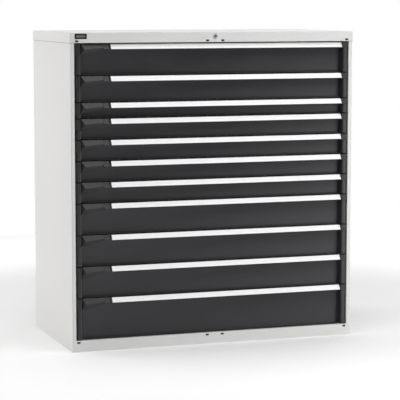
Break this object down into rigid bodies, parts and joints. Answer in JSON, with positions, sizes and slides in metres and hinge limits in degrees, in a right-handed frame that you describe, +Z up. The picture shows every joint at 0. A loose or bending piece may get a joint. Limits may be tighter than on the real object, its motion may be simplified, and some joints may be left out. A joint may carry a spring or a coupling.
{
  "type": "chest of drawers",
  "caption": "Tall industrial chest of drawers in folded steel, with full-width label handles, a grip lever at each drawer's left end, telescopic rails and a central lock.",
  "frame": {"origin": "on the floor, in the middle of the cabinet's width and depth, lock rim included", "axes": "+Z up, +X to the right seen from the front, +Y to the back; drawers open towards -Y"},
  "size_m": [1.43, 0.728, 1.505],
  "materials": {
    "case_paint": "light grey powder coat, fine texture",
    "drawer_paint": "anthracite powder coat, fine texture",
    "handle_aluminium": "dark anodised, with a white label strip between its lips",
    "latch_plastic": "moulded, fine grain",
    "rail_steel": "zinc plated, satin",
    "frame_steel": "zinc plated, satin",
    "lock_metal": "satin nickel plate"
  },
  "bodies": {
    "case": {"case_body": "case_paint", "case_top": "case_paint", "runner_frame": "frame_steel"},
    "drawer_unit_01": {"drawer_01": "drawer_paint", "handle_01": "handle_aluminium"},
    "mid_rails_01": {"slide_01_left": "rail_steel", "slide_01_right": "rail_steel"},
    "grip_lever_01": {"latch_01": "latch_plastic"},
    "drawer_unit_02": {"drawer_02": "drawer_paint", "handle_02": "handle_aluminium"},
    "mid_rails_02": {"slide_02_left": "rail_steel", "slide_02_right": "rail_steel"},
    "grip_lever_02": {"latch_02": "latch_plastic"},
    "drawer_unit_03": {"drawer_03": "drawer_paint", "handle_03": "handle_aluminium"},
    "mid_rails_03": {"slide_03_left": "rail_steel", "slide_03_right": "rail_steel"},
    "grip_lever_03": {"latch_03": "latch_plastic"},
    "drawer_unit_04": {"drawer_04": "drawer_paint", "handle_04": "handle_aluminium"},
    "mid_rails_04": {"slide_04_left": "rail_steel", "slide_04_right": "rail_steel"},
    "grip_lever_04": {"latch_04": "latch_plastic"},
    "drawer_unit_05": {"drawer_05": "drawer_paint", "handle_05": "handle_aluminium"},
    "mid_rails_05": {"slide_05_left": "rail_steel", "slide_05_right": "rail_steel"},
    "grip_lever_05": {"latch_05": "latch_plastic"},
    "drawer_unit_06": {"drawer_06": "drawer_paint", "handle_06": "handle_aluminium"},
    "mid_rails_06": {"slide_06_left": "rail_steel", "slide_06_right": "rail_steel"},
    "grip_lever_06": {"latch_06": "latch_plastic"},
    "drawer_unit_07": {"drawer_07": "drawer_paint", "handle_07": "handle_aluminium"},
    "mid_rails_07": {"slide_07_left": "rail_steel", "slide_07_right": "rail_steel"},
    "grip_lever_07": {"latch_07": "latch_plastic"},
    "drawer_unit_08": {"drawer_08": "drawer_paint", "handle_08": "handle_aluminium"},
    "mid_rails_08": {"slide_08_left": "rail_steel", "slide_08_right": "rail_steel"},
    "grip_lever_08": {"latch_08": "latch_plastic"},
    "drawer_unit_09": {"drawer_09": "drawer_paint", "handle_09": "handle_aluminium"},
    "mid_rails_09": {"slide_09_left": "rail_steel", "slide_09_right": "rail_steel"},
    "grip_lever_09": {"latch_09": "latch_plastic"},
    "drawer_unit_10": {"drawer_10": "drawer_paint", "handle_10": "handle_aluminium"},
    "mid_rails_10": {"slide_10_left": "rail_steel", "slide_10_right": "rail_steel"},
    "grip_lever_10": {"latch_10": "latch_plastic"},
    "drawer_unit_11": {"drawer_11": "drawer_paint", "handle_11": "handle_aluminium"},
    "mid_rails_11": {"slide_11_left": "rail_steel", "slide_11_right": "rail_steel"},
    "grip_lever_11": {"latch_11": "latch_plastic"},
    "lock_plug": {"lock_cylinder": "lock_metal"},
    "lock_bar_unit": {"lock_bar": "frame_steel"}
  },
  "joints": [
    {"name": "drawer_01_slide", "type": "slide", "parent": "case", "child": "drawer_unit_01", "axis": [0, -1, 0], "range_m": [0, 0.6]},
    {"name": "mid_rails_01_slide", "type": "slide", "parent": "case", "child": "mid_rails_01", "axis": [0, -1, 0], "range_m": [0, 0.3]},
    {"name": "grip_lever_01_hinge", "type": "hinge", "parent": "drawer_unit_01", "child": "grip_lever_01", "pos_m": [-0.609, -0.342, 1.4455], "axis": [-1, 0, 0], "range_deg": [0, 15], "stiffness_Nm_per_rad": 0.6, "springref_deg": -8.59},
    {"name": "drawer_02_slide", "type": "slide", "parent": "case", "child": "drawer_unit_02", "axis": [0, -1, 0], "range_m": [0, 0.6]},
    {"name": "mid_rails_02_slide", "type": "slide", "parent": "case", "child": "mid_rails_02", "axis": [0, -1, 0], "range_m": [0, 0.3]},
    {"name": "grip_lever_02_hinge", "type": "hinge", "parent": "drawer_unit_02", "child": "grip_lever_02", "pos_m": [-0.609, -0.342, 1.2955], "axis": [-1, 0, 0], "range_deg": [0, 15], "stiffness_Nm_per_rad": 0.6, "springref_deg": -8.59},
    {"name": "drawer_03_slide", "type": "slide", "parent": "case", "child": "drawer_unit_03", "axis": [0, -1, 0], "range_m": [0, 0.6]},
    {"name": "mid_rails_03_slide", "type": "slide", "parent": "case", "child": "mid_rails_03", "axis": [0, -1, 0], "range_m": [0, 0.3]},
    {"name": "grip_lever_03_hinge", "type": "hinge", "parent": "drawer_unit_03", "child": "grip_lever_03", "pos_m": [-0.609, -0.342, 1.1705], "axis": [-1, 0, 0], "range_deg": [0, 15], "stiffness_Nm_per_rad": 0.6, "springref_deg": -8.59},
    {"name": "drawer_04_slide", "type": "slide", "parent": "case", "child": "drawer_unit_04", "axis": [0, -1, 0], "range_m": [0, 0.6]},
    {"name": "mid_rails_04_slide", "type": "slide", "parent": "case", "child": "mid_rails_04", "axis": [0, -1, 0], "range_m": [0, 0.3]},
    {"name": "grip_lever_04_hinge", "type": "hinge", "parent": "drawer_unit_04", "child": "grip_lever_04", "pos_m": [-0.609, -0.342, 1.0955], "axis": [-1, 0, 0], "range_deg": [0, 15], "stiffness_Nm_per_rad": 0.6, "springref_deg": -8.59},
    {"name": "drawer_05_slide", "type": "slide", "parent": "case", "child": "drawer_unit_05", "axis": [0, -1, 0], "range_m": [0, 0.6]},
    {"name": "mid_rails_05_slide", "type": "slide", "parent": "case", "child": "mid_rails_05", "axis": [0, -1, 0], "range_m": [0, 0.3]},
    {"name": "grip_lever_05_hinge", "type": "hinge", "parent": "drawer_unit_05", "child": "grip_lever_05", "pos_m": [-0.609, -0.342, 0.9955], "axis": [-1, 0, 0], "range_deg": [0, 15], "stiffness_Nm_per_rad": 0.6, "springref_deg": -8.59},
    {"name": "drawer_06_slide", "type": "slide", "parent": "case", "child": "drawer_unit_06", "axis": [0, -1, 0], "range_m": [0, 0.6]},
    {"name": "mid_rails_06_slide", "type": "slide", "parent": "case", "child": "mid_rails_06", "axis": [0, -1, 0], "range_m": [0, 0.3]},
    {"name": "grip_lever_06_hinge", "type": "hinge", "parent": "drawer_unit_06", "child": "grip_lever_06", "pos_m": [-0.609, -0.342, 0.8955], "axis": [-1, 0, 0], "range_deg": [0, 15], "stiffness_Nm_per_rad": 0.6, "springref_deg": -8.59},
    {"name": "drawer_07_slide", "type": "slide", "parent": "case", "child": "drawer_unit_07", "axis": [0, -1, 0], "range_m": [0, 0.6]},
    {"name": "mid_rails_07_slide", "type": "slide", "parent": "case", "child": "mid_rails_07", "axis": [0, -1, 0], "range_m": [0, 0.3]},
    {"name": "grip_lever_07_hinge", "type": "hinge", "parent": "drawer_unit_07", "child": "grip_lever_07", "pos_m": [-0.609, -0.342, 0.7955], "axis": [-1, 0, 0], "range_deg": [0, 15], "stiffness_Nm_per_rad": 0.6, "springref_deg": -8.59},
    {"name": "drawer_08_slide", "type": "slide", "parent": "case", "child": "drawer_unit_08", "axis": [0, -1, 0], "range_m": [0, 0.6]},
    {"name": "mid_rails_08_slide", "type": "slide", "parent": "case", "child": "mid_rails_08", "axis": [0, -1, 0], "range_m": [0, 0.3]},
    {"name": "grip_lever_08_hinge", "type": "hinge", "parent": "drawer_unit_08", "child": "grip_lever_08", "pos_m": [-0.609, -0.342, 0.6955], "axis": [-1, 0, 0], "range_deg": [0, 15], "stiffness_Nm_per_rad": 0.6, "springref_deg": -8.59},
    {"name": "drawer_09_slide", "type": "slide", "parent": "case", "child": "drawer_unit_09", "axis": [0, -1, 0], "range_m": [0, 0.6]},
    {"name": "mid_rails_09_slide", "type": "slide", "parent": "case", "child": "mid_rails_09", "axis": [0, -1, 0], "range_m": [0, 0.3]},
    {"name": "grip_lever_09_hinge", "type": "hinge", "parent": "drawer_unit_09", "child": "grip_lever_09", "pos_m": [-0.609, -0.342, 0.5455], "axis": [-1, 0, 0], "range_deg": [0, 15], "stiffness_Nm_per_rad": 0.6, "springref_deg": -8.59},
    {"name": "drawer_10_slide", "type": "slide", "parent": "case", "child": "drawer_unit_10", "axis": [0, -1, 0], "range_m": [0, 0.6]},
    {"name": "mid_rails_10_slide", "type": "slide", "parent": "case", "child": "mid_rails_10", "axis": [0, -1, 0], "range_m": [0, 0.3]},
    {"name": "grip_lever_10_hinge", "type": "hinge", "parent": "drawer_unit_10", "child": "grip_lever_10", "pos_m": [-0.609, -0.342, 0.3955], "axis": [-1, 0, 0], "range_deg": [0, 15], "stiffness_Nm_per_rad": 0.6, "springref_deg": -8.59},
    {"name": "drawer_11_slide", "type": "slide", "parent": "case", "child": "drawer_unit_11", "axis": [0, -1, 0], "range_m": [0, 0.6]},
    {"name": "mid_rails_11_slide", "type": "slide", "parent": "case", "child": "mid_rails_11", "axis": [0, -1, 0], "range_m": [0, 0.3]},
    {"name": "grip_lever_11_hinge", "type": "hinge", "parent": "drawer_unit_11", "child": "grip_lever_11", "pos_m": [-0.609, -0.342, 0.2455], "axis": [-1, 0, 0], "range_deg": [0, 15], "stiffness_Nm_per_rad": 0.6, "springref_deg": -8.59},
    {"name": "lock_turn", "type": "hinge", "parent": "case", "child": "lock_plug", "pos_m": [0, -0.361, 1.4848], "axis": [0, 1, 0], "range_deg": [0, 90]},
    {"name": "lock_bar_slide", "type": "slide", "parent": "case", "child": "lock_bar_unit", "axis": [0, 0, -1], "range_m": [0, 0.009]}
  ],
  "couplings": [
    {"joint": "mid_rails_01_slide", "follows": "drawer_01_slide", "ratio": 0.5},
    {"joint": "mid_rails_02_slide", "follows": "drawer_02_slide", "ratio": 0.5},
    {"joint": "mid_rails_03_slide", "follows": "drawer_03_slide", "ratio": 0.5},
    {"joint": "mid_rails_04_slide", "follows": "drawer_04_slide", "ratio": 0.5},
    {"joint": "mid_rails_05_slide", "follows": "drawer_05_slide", "ratio": 0.5},
    {"joint": "mid_rails_06_slide", "follows": "drawer_06_slide", "ratio": 0.5},
    {"joint": "mid_rails_07_slide", "follows": "drawer_07_slide", "ratio": 0.5},
    {"joint": "mid_rails_08_slide", "follows": "drawer_08_slide", "ratio": 0.5},
    {"joint": "mid_rails_09_slide", "follows": "drawer_09_slide", "ratio": 0.5},
    {"joint": "mid_rails_10_slide", "follows": "drawer_10_slide", "ratio": 0.5},
    {"joint": "mid_rails_11_slide", "follows": "drawer_11_slide", "ratio": 0.5},
    {"joint": "lock_turn", "follows": "lock_bar_slide", "rad_per_m": 174.5}
  ]
}
